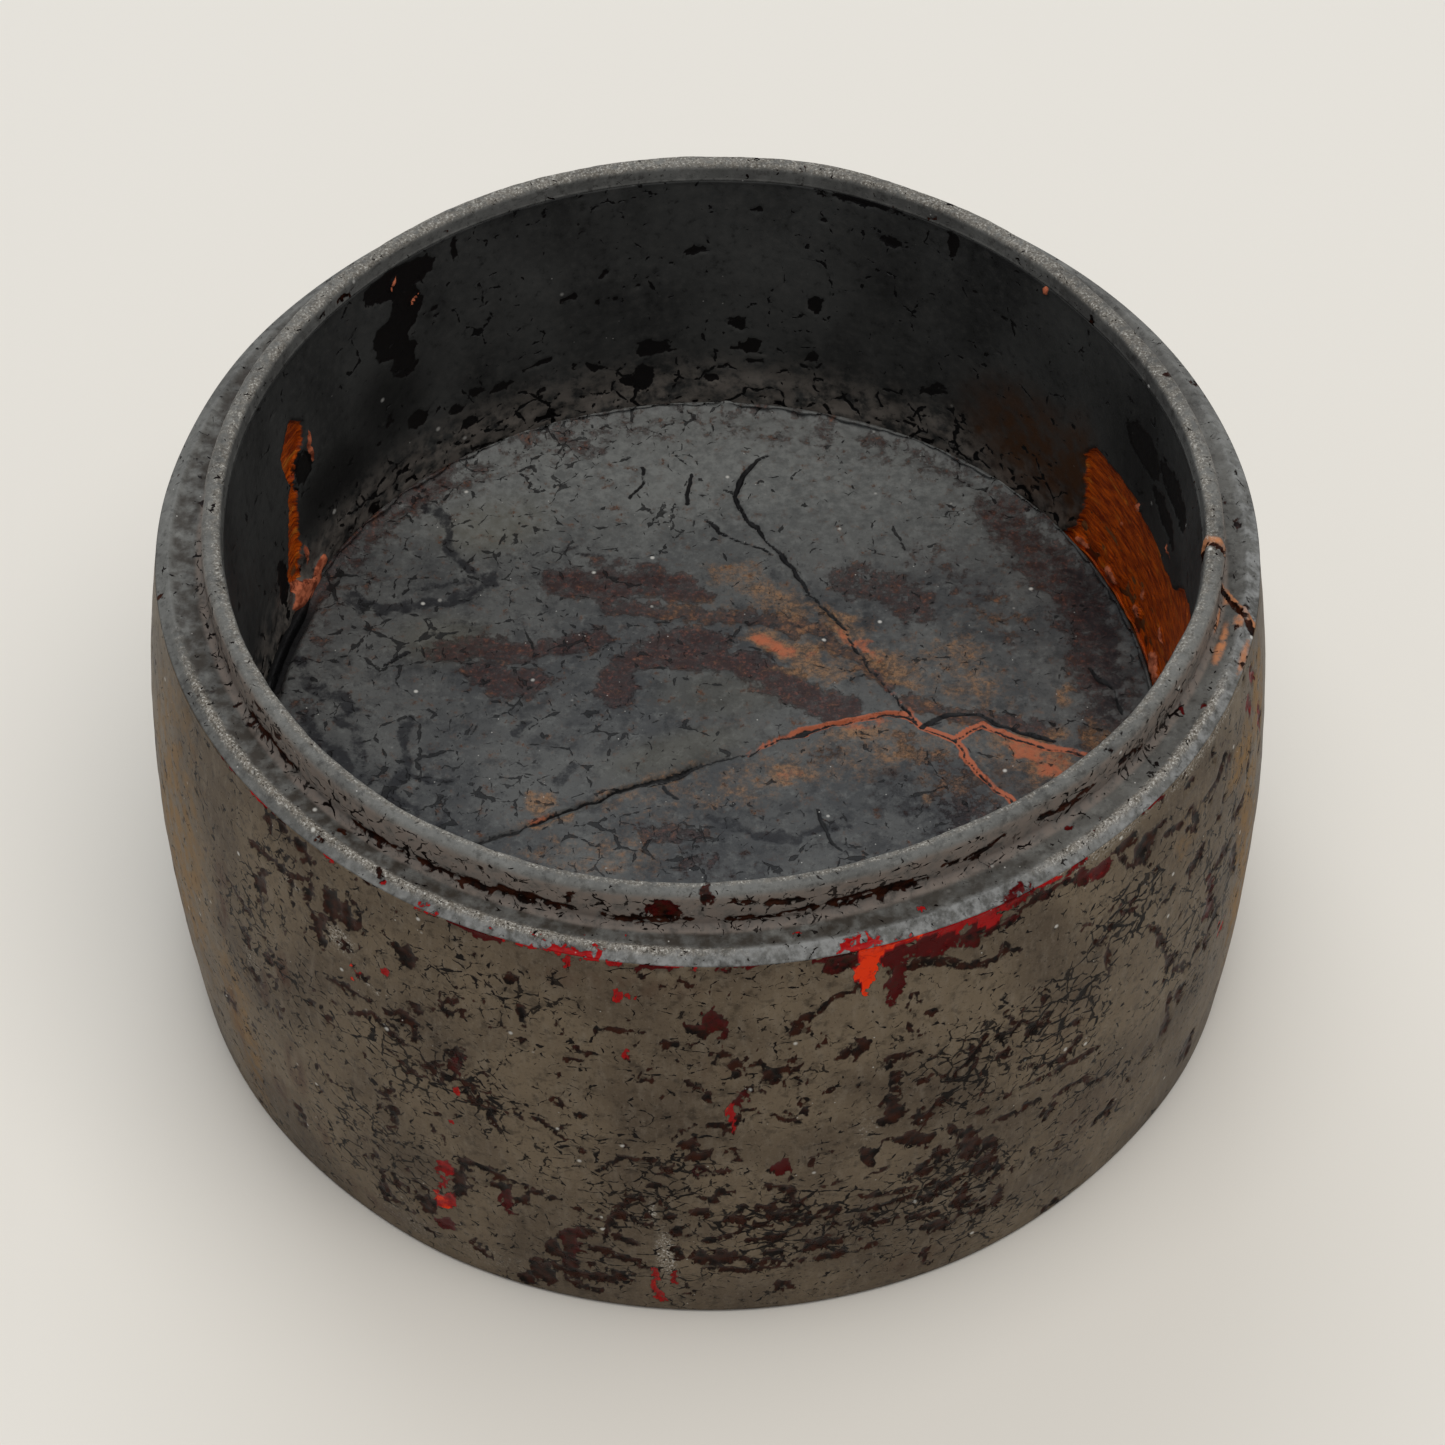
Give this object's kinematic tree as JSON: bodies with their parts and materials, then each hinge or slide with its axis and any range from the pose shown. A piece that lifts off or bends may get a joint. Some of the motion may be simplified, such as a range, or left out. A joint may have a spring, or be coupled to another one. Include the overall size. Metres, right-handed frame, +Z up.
{
  "type": "go stone bowl",
  "caption": "Round open lacquered wooden bowl for go stones, with a thick wall, a stepped shoulder and a raised collar that seats a lid, and a raised flat floor.",
  "frame": {"origin": "centre of the circle the foot stands on, at table level", "axes": "+Z up along the bowl's axis, out of its mouth; the bowl is round, so X and Y are free"},
  "size_m": [0.1464, 0.1464, 0.0768],
  "materials": {
    "core_wood": "bare bent wood, darkened with age",
    "clay_ground": "matt clay ground, pinkish",
    "red_lacquer": "satin red lacquer undercoat",
    "black_lacquer": "worn satin black lacquer"
  },
  "bodies": {
    "root": {"wall_ring_1": "core_wood", "wall_ring_2": "core_wood", "wall_ring_3": "core_wood", "wall_ring_4": "core_wood", "wall_ring_5": "core_wood", "liner_hoop": "core_wood", "floor_board": "core_wood", "bearer_hoop": "core_wood", "outer_clay_ground": "clay_ground", "outer_red_lacquer": "red_lacquer", "outer_black_lacquer": "black_lacquer", "inner_clay_ground": "clay_ground", "inner_red_lacquer": "red_lacquer", "inner_black_lacquer": "black_lacquer", "floor_clay_ground": "clay_ground", "floor_red_lacquer": "red_lacquer", "floor_black_lacquer": "black_lacquer", "underside_black_lacquer": "black_lacquer"}
  },
  "joints": []
}
